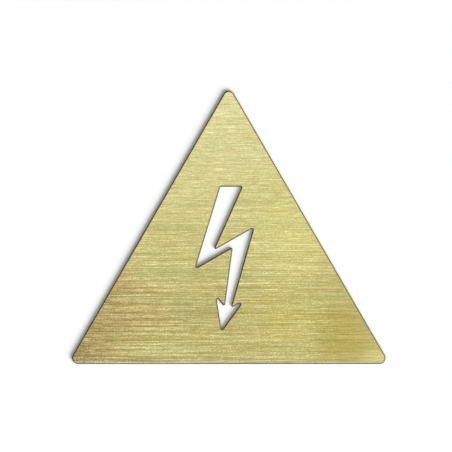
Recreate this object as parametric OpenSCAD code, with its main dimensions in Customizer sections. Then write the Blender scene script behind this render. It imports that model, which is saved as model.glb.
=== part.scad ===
// Triangular warning sign for electrical hazard, cut from one flat sheet of brass.
// The sign stands upright as it hangs on a wall: X to the right, Z up, and the face looks along -Y.
// The origin is on the back of the sheet, at the middle of its lower edge.

/* [Sheet] */
// Overall width of the sheet, over its rounded lower corners
sign_w = 100; // [85:1:200]
// Thickness of the sheet
sheet_t = 1.5; // [0.8:0.1:4]
// Radius of the three outer corners, seen from the front
corner_r = 1.9; // [0.8:0.1:8]

/* [Bolt] */
// Sideways place of the arrow's tip, from the middle of the sign
bolt_x = -2.3; // [-6:0.1:2]
// Height of the arrow's tip above the lower edge
bolt_z = 10.7; // [6:0.1:14]
// Height of the whole bolt, from the arrow's tip to its flat top
bolt_h = 45.8; // [40:0.1:48]
// Left end of the flat top, sideways from the arrow's tip
top_x = -0.4; // [-3:0.1:2]
// Width of the flat top
top_w = 6.8; // [4:0.1:9]
// Slope of the two folds and of the right barb, in degrees
fold_slope = 29.75; // [24:0.25:34]
// Tip of the tongue that enters from the right, sideways from the arrow's tip
right_tongue_x = -2.8; // [-3.4:0.1:-1]
// Height of that tongue's tip above the arrow's tip
right_tongue_z = 25.3; // [24:0.1:27]
// Point of the fold on the right, sideways from the arrow's tip
right_spike_x = 10.1; // [8:0.1:12]
// Tip of the tongue that enters from the left, sideways from the arrow's tip
left_tongue_x = 3.6; // [2:0.1:4]
// Height of that tongue's tip above the arrow's tip
left_tongue_z = 26.7; // [25:0.1:28]
// Point of the fold on the left, sideways from the arrow's tip
left_spike_x = -8.3; // [-10:0.1:-6]

/* [Arrow head] */
// Inner corner right of the stem, sideways from the arrow's tip
right_notch_x = 2.8; // [2.4:0.1:3.6]
// Height of that corner above the arrow's tip
right_notch_z = 7; // [6:0.1:7.5]
// Point of the right barb, sideways from the arrow's tip
right_barb_x = 6.7; // [5.4:0.1:7.5]
// Inner corner left of the stem, sideways from the arrow's tip
left_notch_x = 1; // [0.6:0.1:1.4]
// Height of that corner above the arrow's tip
left_notch_z = 7.2; // [6.8:0.1:8]
// Point of the left barb, sideways from the arrow's tip
left_barb_x = -1.7; // [-3:0.1:-1.4]
// Height of the left barb's point above the arrow's tip
left_barb_z = 10.9; // [10:0.1:12]

/* [Edges] */
// Break of the sharp front edge, round the sheet and round the bolt
edge_break = 0.3; // [0.1:0.05:0.3]
// Radius at the tips of sheet that point into the bolt
tongue_r = 0.45; // [0.45:0.05:0.6]
// Radius that the cut leaves at the points of the bolt
slit_r = 0.3; // [0.2:0.05:0.4]

/* [Hidden] */
$fn = 96;

// Each rounded corner makes the triangle this much narrower than a sharp one
corner_loss = corner_r * (sqrt(3) - 1);
side = sign_w + 2 * corner_loss;
side_h = side * sqrt(3) / 2;
fold_rise = tan(fold_slope);

// Discs that round the corners are larger by this factor, so that they always meet the straights
snug = 1.0006;
// How far a cutter reaches out of the sheet
over = edge_break / 4;
// Degrees between two facets of the broken edge, where it follows a bend
bend_step = 15;

// An outline is a list of corners [x, z, radius], taken in the order
// that keeps the sheet on the left.
sheet_outline = [
    [-side / 2, 0, corner_r],
    [side / 2, 0, corner_r],
    [0, side_h, corner_r]
];

// Corners of the bolt, measured from the arrow's tip
right_spike_z = right_tongue_z + (right_spike_x - right_tongue_x) * fold_rise;
left_spike_z = left_tongue_z - (left_tongue_x - left_spike_x) * fold_rise;
right_barb_z = right_notch_z + (right_barb_x - right_notch_x) * fold_rise;
bolt_corners = [
    [0, 0, slit_r],
    [left_barb_x, left_barb_z, slit_r],
    [left_notch_x, left_notch_z, tongue_r],
    [left_tongue_x, left_tongue_z, tongue_r],
    [left_spike_x, left_spike_z, slit_r],
    [top_x, bolt_h, slit_r],
    [top_x + top_w, bolt_h, slit_r],
    [right_tongue_x, right_tongue_z, tongue_r],
    [right_spike_x, right_spike_z, slit_r],
    [right_notch_x, right_notch_z, tongue_r],
    [right_barb_x, right_barb_z, slit_r]
];
bolt_outline = [for (c = bolt_corners) c + [bolt_x, bolt_z, 0]];

// Geometry of corner i of outline p. At a tip the outline turns left, round the
// sheet, and at a cut it turns right, round the air.
function at(p, i) = p[(i + len(p)) % len(p)];
function point(p, i) = [at(p, i)[0], at(p, i)[1]];
function radius(p, i) = at(p, i)[2];
function way(p, i) = (point(p, i + 1) - point(p, i)) / norm(point(p, i + 1) - point(p, i));
function heading(p, i) = atan2(way(p, i)[1], way(p, i)[0]);
function turn(p, i) = atan2(cross(way(p, i - 1), way(p, i)), way(p, i - 1) * way(p, i));
function is_tip(p, i) = turn(p, i) > 0;
function cutback(p, i) = radius(p, i) * tan(abs(turn(p, i)) / 2);
function bend_start(p, i) = point(p, i) - way(p, i - 1) * cutback(p, i);
function bend_end(p, i) = point(p, i) + way(p, i) * cutback(p, i);
function left_of(v) = [-v[1], v[0]];
function bend_centre(p, i) =
    bend_start(p, i) + left_of(way(p, i - 1)) * radius(p, i) * sign(turn(p, i));
function polar(r, a) = [r * cos(a), r * sin(a)];

// Points along the outline, inset into the sheet, or out of it where inset is negative
function inset_bend(p, i, inset) =
    let (hand = sign(turn(p, i)), steps = ceil(abs(turn(p, i)) / bend_step))
    let (first = heading(p, i - 1) - hand * 90)
    [for (k = [0:steps])
        bend_centre(p, i) + polar(radius(p, i) - hand * inset, first + turn(p, i) * k / steps)];
function inset_outline(p, inset) = [for (i = [0:len(p) - 1]) each inset_bend(p, i, inset)];

module bend_disc(p, i) {
    translate(bend_centre(p, i)) circle(r = radius(p, i) * snug);
}

// Area inside an outline whose corners are true arcs. The outline goes round
// sheet where solid is true, and round air where it is false.
module rounded_area(p, solid) {
    corners = [for (i = [0:len(p) - 1]) i];
    difference() {
        union() {
            polygon([for (i = corners) each [bend_start(p, i), bend_centre(p, i), bend_end(p, i)]]);
            for (i = corners) if (is_tip(p, i) == solid) bend_disc(p, i);
        }
        for (i = corners) if (is_tip(p, i) != solid) bend_disc(p, i);
    }
}

// What is cut off the front edge along an outline: a three-sided section, swept all the way round
module edge_cutter(p) {
    section = [
        [-over, sheet_t - edge_break - over],
        [edge_break + over, sheet_t + over],
        [-over, sheet_t + over]
    ];
    paths = [for (q = section) inset_outline(p, q[0])];
    n = len(paths[0]);
    m = len(section);
    polyhedron(
        points = [for (j = [0:n - 1]) for (k = [0:m - 1]) concat(paths[k][j], section[k][1])],
        faces = [for (j = [0:n - 1]) for (k = [0:m - 1])
            let (next = (j + 1) % n, up = (k + 1) % m)
            [j * m + k, next * m + k, next * m + up, j * m + up]]
    );
}

module sign_plate() {
    color([0.79, 0.75, 0.49])
        rotate([90, 0, 0])
            difference() {
                linear_extrude(sheet_t) rounded_area(sheet_outline, true);
                translate([0, 0, -over])
                    linear_extrude(sheet_t + 2 * over) rounded_area(bolt_outline, false);
                edge_cutter(sheet_outline);
                edge_cutter(bolt_outline);
            }
}

sign_plate();
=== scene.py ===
"""A triangular warning sign in brushed brass sheet, lying flat against a white wall.

The scene is in metres. X runs to the right, Y into the wall and Z up, and the sign's lower edge is at
Z = 0. The patterns on the metal are laid out in millimetres.
"""

import math

import bpy
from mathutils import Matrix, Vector


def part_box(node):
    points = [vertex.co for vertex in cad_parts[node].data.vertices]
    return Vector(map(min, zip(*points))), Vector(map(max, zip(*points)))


# The camera looks straight at the sign and sees this width of the plane of its face.
SEEN_WIDTH = 0.14409
SEEN_CENTRE_X = -0.00091
SEEN_CENTRE_Z = 0.04398
LENS = 200
SENSOR = 36

# The wall stands just behind the sign.
WALL_SIZE = 0.8
WALL_GAP = 0.00005
WALL_PAINT = (0.9, 0.9, 0.9, 1)

# How far off the lamps of the sign and of the wall hang
SIGN_LAMPS_AWAY = 1.5
WALL_LAMPS_AWAY = 8.0

# How strongly the world lights what doesn't mirror it
WORLD_FILL = 0.04

MM_IN_METRE = 1000

# How squarely the metal faces front or back, from 0 to 1: up to the first value it is an edge, and from
# the second one it is flat sheet.
EDGE_FACING = 0.8
SHEET_FACING = 0.95

# The width of the dark rim on the face, painted shade that widens the dark outline, over which normals
# are rounded towards the broken edge. Where such a normal faces front or back as squarely as the first
# value it is rim, and from the second one on it is plain sheet.
RIM_WIDTH = 0.0003
RIM_FACING = 0.98
INSIDE_FACING = 0.995

# Heights in mm of the pale painted highlight along the sheet's lower edge: where it starts, where it has
# taken the dark rim off, and where it is full
LIP_HIGHLIGHT_TOP = 0.95
LIP_HIGHLIGHT_NO_RIM = 0.75
LIP_HIGHLIGHT_FULL = 0.6

# Heights in mm where the painted shade on the lower edge starts, and where it is full
FOOT_SHADE_TOP = 0.5
FOOT_SHADE_FULL = 0.3

# How far the brush marks lighten and darken the metal, as a share of white, where it is clean or brown
BRUSH_CONTRAST = 0.12
BROWN_CONTRAST = 0.168

# The marks calm down to this share of their contrast at the right end, between these two places in mm.
CALM_SHARE = 0.5
CALM_START = 27
CALM_END = 38

# Heights in mm above which the brush marks are shortest, and below which they are longest
MARKS_SHORT = 68
MARKS_LONG = 10

# How high in its noise a painted glint starts and is full, and how much it then adds to the brush marks
GLINT_START = 0.6
GLINT_FULL = 1.1
GLINT_LIGHT = 0.5

# How much light marks gain, and dark ones lose, at full strength
LIGHT_BIAS = 0.25

# Dark brush marks are rougher than light ones.
DARK_ROUGHNESS = 0.46
LIGHT_ROUGHNESS = 0.34

# The sheet's sloping left edge, in mm: how far out it starts, and how far in it runs for each mm up
HALF_WIDTH = 51.4
EDGE_RUN = 0.577

# How far in from that edge the brown tarnish starts and is full, in mm. Below 0 is outside the sheet.
TARNISH_START = 20
TARNISH_FULL = -2

# How far the long brush strokes and some broad clusters fray the tarnish, in mm
STROKE_FRAY = 14
CLUSTER_FRAY = 4

# Heights in mm between which the tarnish gets stronger downwards, and how brown it gets, from 0 to 1
TARNISH_TOP = 33
TARNISH_LOW = 17
TARNISH_SHARE = 0.7

# Heights in mm between which the metal gets paler upwards, a painted light gradient that is brighter
# above
PALE_START = 40
PALE_END = 88

# Heights in mm between which the metal gets duller downwards, the darker end of that painted light
# gradient
DULL_START = 42
DULL_END = 12

# How warm and coppery places differ from the rest, in red, green and blue as shares of white
WARM_STEP = (0.02, 0.0, -0.008)
COPPER_STEP = (0.014, -0.014, -0.004)

# How far a soft patch's rim is frayed, as a share of the patch's radius
FRAY = 0.5

# The noise keeps mostly between these two values.
NOISE_LOW = 0.25
NOISE_HIGH = 0.75

# Colours are chosen as a screen shows them, and this turns them into light.
SCREEN_GAMMA = 2.2

# Which sockets of a mix node hold its two colours and its result
MIX_A, MIX_B, MIX_RESULT = 6, 7, 2


def screen(red, green, blue):
    """A colour as a screen shows it, from 0 to 255 a channel."""
    return (red / 255, green / 255, blue / 255, 1)


# Shader nodes


def feed(tree, socket, value):
    """Link a socket to another node's output, or set its own value."""
    if isinstance(value, bpy.types.NodeSocket):
        tree.links.new(value, socket)
    else:
        socket.default_value = value


def add_node(tree, kind, inputs, **settings):
    """Add one shader node with its inputs and settings."""
    node = tree.nodes.new(kind)
    for name, value in settings.items():
        setattr(node, name, value)
    for name, value in inputs.items():
        feed(tree, node.inputs[name], value)
    return node


def calculate(tree, operation, *values):
    """Work out one number from others."""
    inputs = dict(enumerate(values))
    return add_node(tree, "ShaderNodeMath", inputs, operation=operation).outputs[0]


def rescale(tree, value, start, end, to_start=0.0, to_end=1.0, smooth=False):
    """Turn a value that runs from start to end into one that runs from to_start to to_end."""
    inputs = {"Value": value, "From Min": start, "From Max": end, "To Min": to_start, "To Max": to_end}
    kind = "SMOOTHSTEP" if smooth else "LINEAR"
    return add_node(tree, "ShaderNodeMapRange", inputs, interpolation_type=kind).outputs[0]


def between(tree, share, first, second):
    """A number that is the first one where share is 0, and the second one where it is 1."""
    return rescale(tree, share, 0, 1, first, second)


def blend(tree, share, first, second):
    """A colour that is the first one where share is 0, and the second one where it is 1."""
    inputs = {0: share, MIX_A: first, MIX_B: second}
    return add_node(tree, "ShaderNodeMix", inputs, data_type="RGBA").outputs[MIX_RESULT]


def shift(tree, colour, amount, step):
    """Move a colour by a step in red, green and blue, times an amount."""
    inputs = {0: amount, 1: step, 2: colour}
    return add_node(tree, "ShaderNodeVectorMath", inputs, operation="MULTIPLY_ADD").outputs[0]


def streaks(tree, place, length, height, seed, depth=1.0, detail=0.0):
    """Smooth noise, about 0 to 1. Length, depth and height are one streak's along X, Y and Z, in mm."""
    inputs = {0: place, 1: (1 / length, 1 / depth, 1 / height), 2: (seed, seed, seed)}
    drawn_out = add_node(tree, "ShaderNodeVectorMath", inputs, operation="MULTIPLY_ADD").outputs[0]
    inputs = {"Vector": drawn_out, "Scale": 1, "Detail": detail}
    noise = add_node(tree, "ShaderNodeTexNoise", inputs).outputs[0]
    return rescale(tree, noise, NOISE_LOW, NOISE_HIGH)


def weigh(tree, *parts):
    """Add up patterns that run from 0 to 1, each as its distance from a half, times its weight."""
    total = 0
    for pattern, weight in parts:
        swing = calculate(tree, "SUBTRACT", pattern, 0.5)
        total = calculate(tree, "MULTIPLY_ADD", swing, weight, total)
    return total


def spot(tree, place, ragged, x, z, wide, high):
    """A soft oval patch, 1 at its middle and 0 at its rim. Ragged, about 0 to 1, frays the rim.

    X and z are its middle, and wide and high its two radii, in mm.
    """
    inputs = {0: place, 1: (x, 0, z)}
    offset = add_node(tree, "ShaderNodeVectorMath", inputs, operation="SUBTRACT").outputs[0]
    inputs = {0: offset, 1: (1 / wide, 0, 1 / high)}
    scaled = add_node(tree, "ShaderNodeVectorMath", inputs, operation="MULTIPLY").outputs[0]
    length = add_node(tree, "ShaderNodeVectorMath", {0: scaled}, operation="LENGTH").outputs["Value"]
    frayed = calculate(tree, "MULTIPLY_ADD", ragged, FRAY, length)
    return rescale(tree, frayed, 1 + FRAY / 2, FRAY / 2, smooth=True)


# The metal


def sheet_off_dark_edge(tree, facing, height):
    """1 on the flat face and back, and 0 on the cut edge, the broken edge and its thin rim of painted
    shade.
    """
    is_flat = rescale(tree, calculate(tree, "ABSOLUTE", facing), EDGE_FACING, SHEET_FACING)
    # The rim is painted shade, which darkens the face next to the broken edge.
    rounded = add_node(tree, "ShaderNodeBevel", {"Radius": RIM_WIDTH}, samples=8).outputs[0]
    rounded_facing = add_node(tree, "ShaderNodeSeparateXYZ", {0: rounded}).outputs["Y"]
    is_inside_rim = rescale(tree, calculate(tree, "ABSOLUTE", rounded_facing), RIM_FACING, INSIDE_FACING)
    # The painted highlight along the lower edge takes the dark rim off there.
    is_lip_highlight = rescale(tree, height, LIP_HIGHLIGHT_TOP, LIP_HIGHLIGHT_NO_RIM)
    is_not_rim = calculate(tree, "MAXIMUM", is_inside_rim, is_lip_highlight)
    return calculate(tree, "MULTIPLY", is_flat, is_not_rim)


def brush_marks(tree, place, height, strokes, long_strokes):
    """How far the brushing lightens the metal, about -1 to 1. The marks get longer lower down."""
    lowness = rescale(tree, height, MARKS_SHORT, MARKS_LONG, smooth=True)
    grain = streaks(tree, place, length=0.55, height=0.19, seed=3.7, detail=1)
    bands = streaks(tree, place, length=30, height=1.6, seed=41.1)
    marks = weigh(
        tree,
        (grain, between(tree, lowness, 1.3, 1.8)),
        (strokes, 1.2),
        (long_strokes, between(tree, lowness, 1.0, 2.3)),
        (bands, between(tree, lowness, 0.05, 0.2)),
    )
    # Only the peaks of this pattern show, as short painted glints.
    peaks = streaks(tree, place, length=3.0, height=0.3, seed=57.3)
    painted_glints = rescale(tree, peaks, GLINT_START, GLINT_FULL, to_end=GLINT_LIGHT)
    marks = calculate(tree, "ADD", marks, painted_glints)
    # Light marks stand out more than dark ones.
    extra = calculate(tree, "MULTIPLY", marks, LIGHT_BIAS)
    return calculate(tree, "MULTIPLY_ADD", marks, extra, marks)


def brown_tarnish(tree, place, across, height, long_strokes):
    """How brown the metal is, from 0 to 1. The tarnish runs in from the low end of the left edge."""
    from_middle = calculate(tree, "MULTIPLY_ADD", height, -EDGE_RUN, HALF_WIDTH)
    inward = calculate(tree, "ADD", from_middle, across)
    clusters = streaks(tree, place, length=40, height=5, seed=88.3)
    fray = weigh(tree, (long_strokes, STROKE_FRAY), (clusters, CLUSTER_FRAY))
    frayed = calculate(tree, "ADD", inward, fray)
    near_edge = rescale(tree, frayed, TARNISH_START, TARNISH_FULL, smooth=True)
    fade = rescale(tree, height, TARNISH_TOP, TARNISH_LOW, to_end=TARNISH_SHARE, smooth=True)
    band = calculate(tree, "MULTIPLY", near_edge, fade)
    corner = spot(tree, place, long_strokes, x=-50, z=0, wide=30, high=13)
    return calculate(tree, "MAXIMUM", band, corner)


def copper_blush(tree, place, long_strokes):
    """How coppery the metal is, from 0 to 1: in two faint places by the left edge, beyond the brown."""
    higher = spot(tree, place, long_strokes, x=-33, z=29, wide=11, high=12)
    lower = spot(tree, place, long_strokes, x=-30, z=16, wide=16, high=9)
    return calculate(tree, "MAXIMUM", higher, lower)


def face_tone(tree, place, height, strokes, brown):
    """The colour of the face between the brush marks: paler towards the top as painted light, with soft
    patches.
    """
    # Painted light: the face is lighter towards the top and darker towards the foot.
    painted_light_upwards = rescale(tree, height, PALE_START, PALE_END)
    tone = blend(tree, painted_light_upwards, screen(201, 192, 127), screen(227, 219, 160))
    painted_shade_downwards = rescale(tree, height, DULL_START, DULL_END, smooth=True)
    tone = blend(tree, painted_shade_downwards, tone, screen(190, 180, 117))

    bright_side = spot(tree, place, strokes, x=19, z=44, wide=19, high=30)
    tone = blend(tree, bright_side, tone, screen(213, 204, 131))
    warm_side = spot(tree, place, strokes, x=20, z=14, wide=24, high=15)
    tone = blend(tree, warm_side, tone, screen(199, 187, 113))
    dull_middle = spot(tree, place, strokes, x=-15, z=17, wide=20, high=9)
    tone = blend(tree, dull_middle, tone, screen(183, 173, 111))
    gold_side = spot(tree, place, strokes, x=36, z=9, wide=14, high=19)
    tone = blend(tree, gold_side, tone, screen(182, 169, 95))
    light_foot = spot(tree, place, strokes, x=16, z=0, wide=18, high=8)
    tone = blend(tree, light_foot, tone, screen(200, 187, 116))
    bright_corner = spot(tree, place, strokes, x=50, z=0, wide=12, high=9)
    tone = blend(tree, bright_corner, tone, screen(220, 206, 130))
    tone = blend(tree, brown, tone, screen(167, 144, 93))
    olive_corner = spot(tree, place, strokes, x=-49, z=1, wide=9, high=6)
    tone = blend(tree, olive_corner, tone, screen(149, 135, 84))
    # A pale line along the lower edge, painted as a highlight.
    painted_lip_highlight = rescale(tree, height, LIP_HIGHLIGHT_TOP, LIP_HIGHLIGHT_FULL)
    tone = blend(tree, painted_lip_highlight, tone, screen(195, 189, 152))

    # The metal is a little warmer in some places and cooler in others.
    warmth = weigh(tree, (streaks(tree, place, length=14, height=3.5, seed=71.7), 1.0))
    return shift(tree, tone, warmth, WARM_STEP)


def edge_tone(tree, place, height):
    """The colour of the cut edge, whose fine marks run straight through the sheet: dark as a real cut and
    as painted shade.
    """
    cut_marks = streaks(tree, place, length=0.35, height=0.35, seed=33.1, depth=9)
    tone = blend(tree, cut_marks, screen(90, 84, 61), screen(120, 112, 83))
    # The lower edge is the darkest, with painted shade.
    is_shaded_foot = rescale(tree, height, FOOT_SHADE_TOP, FOOT_SHADE_FULL)
    return blend(tree, is_shaded_foot, tone, screen(68, 63, 46))


def brass_material():
    """Brushed brass with dark edges, partly real cut edges and partly painted shade."""
    material = bpy.data.materials.new("brushed_brass_sheet")
    material.use_nodes = True
    tree = material.node_tree
    tree.nodes.clear()

    coordinates = add_node(tree, "ShaderNodeTexCoord", {})
    inputs = {0: coordinates.outputs["Object"], 1: (MM_IN_METRE,) * 3}
    place = add_node(tree, "ShaderNodeVectorMath", inputs, operation="MULTIPLY").outputs[0]
    place_parts = add_node(tree, "ShaderNodeSeparateXYZ", {0: place})
    across = place_parts.outputs["X"]
    height = place_parts.outputs["Z"]
    facing = add_node(tree, "ShaderNodeSeparateXYZ", {0: coordinates.outputs["Normal"]}).outputs["Y"]
    is_back = rescale(tree, facing, EDGE_FACING, SHEET_FACING)
    is_off_dark_edge = sheet_off_dark_edge(tree, facing, height)

    strokes = streaks(tree, place, length=3.6, height=0.19, seed=11.3, detail=1)
    long_strokes = streaks(tree, place, length=30, height=0.2, seed=61.3, detail=1)
    marks = brush_marks(tree, place, height, strokes, long_strokes)
    brown = brown_tarnish(tree, place, across, height, long_strokes)
    blush = copper_blush(tree, place, long_strokes)

    face = face_tone(tree, place, height, strokes, brown)
    face = shift(tree, face, blush, COPPER_STEP)
    sheet = blend(tree, is_back, face, screen(196, 186, 124))
    full_contrast = between(tree, brown, BRUSH_CONTRAST, BROWN_CONTRAST)
    calm = rescale(tree, across, CALM_START, CALM_END, 1.0, CALM_SHARE)
    contrast = calculate(tree, "MULTIPLY", full_contrast, calm)
    sheet = shift(tree, sheet, calculate(tree, "MULTIPLY", marks, contrast), (1, 1, 1))
    # The edges and the rim take the dark edge colour, which is partly painted shade.
    shown = blend(tree, is_off_dark_edge, edge_tone(tree, place, height), sheet)

    inputs = {"Strength": 0.15, "Distance": 0.00003, "Height": marks}
    bump = add_node(tree, "ShaderNodeBump", inputs).outputs[0]
    inputs = {
        "Base Color": add_node(tree, "ShaderNodeGamma", {0: shown, 1: SCREEN_GAMMA}).outputs[0],
        "Metallic": is_off_dark_edge,
        "Specular IOR Level": 0.15,
        "Roughness": rescale(tree, marks, -1, 1, DARK_ROUGHNESS, LIGHT_ROUGHNESS),
        "Anisotropic": 0.5,
        "Anisotropic Rotation": 0.25,
        "Normal": bump,
    }
    shader = add_node(tree, "ShaderNodeBsdfPrincipled", inputs)
    add_node(tree, "ShaderNodeOutputMaterial", {"Surface": shader.outputs[0]})
    return material


# The stage


def wall_material():
    """Matt white, and clear from behind so that the sign's back can be seen."""
    material = bpy.data.materials.new("white_wall")
    material.use_nodes = True
    tree = material.node_tree
    tree.nodes.clear()
    paint = add_node(tree, "ShaderNodeBsdfDiffuse", {"Color": WALL_PAINT}).outputs[0]
    clear = add_node(tree, "ShaderNodeBsdfTransparent", {}).outputs[0]
    behind = add_node(tree, "ShaderNodeNewGeometry", {}).outputs["Backfacing"]
    surface = add_node(tree, "ShaderNodeMixShader", {0: behind, 1: paint, 2: clear}).outputs[0]
    add_node(tree, "ShaderNodeOutputMaterial", {"Surface": surface})
    return material


def add_wall():
    """Put a flat white wall behind the sign, facing the camera."""
    half = WALL_SIZE / 2
    corners = [
        (-half, WALL_GAP, SEEN_CENTRE_Z - half),
        (half, WALL_GAP, SEEN_CENTRE_Z - half),
        (half, WALL_GAP, SEEN_CENTRE_Z + half),
        (-half, WALL_GAP, SEEN_CENTRE_Z + half),
    ]
    mesh = bpy.data.meshes.new("wall")
    mesh.from_pydata(corners, [], [(0, 1, 2, 3)])
    mesh.materials.append(wall_material())
    wall = bpy.data.objects.new("wall", mesh)
    bpy.context.scene.collection.objects.link(wall)
    # The wall takes the sign's shadow, but it doesn't shade the sign or light it.
    wall.visible_shadow = False
    wall.visible_diffuse = False
    wall.visible_glossy = False
    return wall


def add_softbox(name, lit_object, direction, distance, size, level):
    """Hang a soft lamp that faces the sign and lights one object alone.

    Direction points from the sign to the lamp. A white card that faced a small lamp of this level would
    render at that level.
    """
    data = bpy.data.lights.new(name, "AREA")
    data.shape = "SQUARE"
    data.size = size
    data.energy = level * math.pi**2 * distance**2
    lamp = bpy.data.objects.new(name, data)
    bpy.context.scene.collection.objects.link(lamp)
    towards = Vector(direction).normalized()
    lamp.location = Vector((0, 0, SEEN_CENTRE_Z)) + towards * distance
    lamp.rotation_euler = towards.to_track_quat("Z", "Y").to_euler()
    lamp.visible_camera = False
    lamp.visible_glossy = False
    group = bpy.data.collections.new(f"lit_by_{name}")
    group.objects.link(lit_object)
    lamp.light_linking.receiver_collection = group


def light_sign(sign):
    """Light the sign from in front and from the right, and its back from behind."""
    away = SIGN_LAMPS_AWAY
    add_softbox("front_softbox", sign, (0, -1, 0), away, size=1.2, level=0.12)
    add_softbox("right_softbox", sign, (0.83, -0.52, -0.2), away, size=0.8, level=1.55)
    add_softbox("back_softbox", sign, (-0.6, 1, 0.4), away, size=1.2, level=1.0)


def light_wall(wall):
    """Light the wall from in front and from the low right, so that the shadow falls to the upper left."""
    away = WALL_LAMPS_AWAY
    add_softbox("wall_softbox", wall, (0.14, -1, -0.34), away, size=10.5, level=0.84)
    add_softbox("wall_side_softbox", wall, (0.88, -1, -0.76), away, size=5.3, level=1.02)


def add_world():
    """White to the camera and to polished metal, and dim as a light."""
    world = bpy.data.worlds.new("studio")
    bpy.context.scene.world = world
    world.use_nodes = True
    tree = world.node_tree
    tree.nodes.clear()
    path = add_node(tree, "ShaderNodeLightPath", {})
    shown = calculate(tree, "MAXIMUM", path.outputs["Is Camera Ray"], path.outputs["Is Glossy Ray"])
    shown = calculate(tree, "MAXIMUM", shown, path.outputs["Is Transmission Ray"])
    strength = calculate(tree, "MAXIMUM", shown, WORLD_FILL)
    inputs = {"Color": (1, 1, 1, 1), "Strength": strength}
    background = add_node(tree, "ShaderNodeBackground", inputs).outputs[0]
    add_node(tree, "ShaderNodeOutputWorld", {"Surface": background})
    # The metal then meets the world by its reflections alone, in which the world is white.
    world.cycles.sampling_method = "NONE"


def add_camera(face_y):
    """Look straight at the sign from in front."""
    data = bpy.data.cameras.new("camera")
    data.lens = LENS
    data.sensor_width = SENSOR
    camera = bpy.data.objects.new("camera", data)
    bpy.context.scene.collection.objects.link(camera)
    distance = SEEN_WIDTH * LENS / SENSOR
    camera.location = (SEEN_CENTRE_X, face_y - distance, SEEN_CENTRE_Z)
    camera.rotation_euler = (math.radians(90), 0, 0)
    bpy.context.scene.camera = camera


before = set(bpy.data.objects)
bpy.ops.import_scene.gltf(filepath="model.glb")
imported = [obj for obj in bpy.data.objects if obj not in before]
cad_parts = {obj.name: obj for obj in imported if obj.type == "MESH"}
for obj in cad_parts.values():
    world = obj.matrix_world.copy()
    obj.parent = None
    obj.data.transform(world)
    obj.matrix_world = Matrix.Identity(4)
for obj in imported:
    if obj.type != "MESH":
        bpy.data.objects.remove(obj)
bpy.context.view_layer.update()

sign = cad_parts["sign_plate"]
lowest_corner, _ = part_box("sign_plate")
add_camera(face_y=lowest_corner.y)

brass = brass_material()
for slot in sign.material_slots:
    slot.material = brass

light_sign(sign)
light_wall(add_wall())
add_world()

bpy.context.scene.view_settings.view_transform = "Standard"
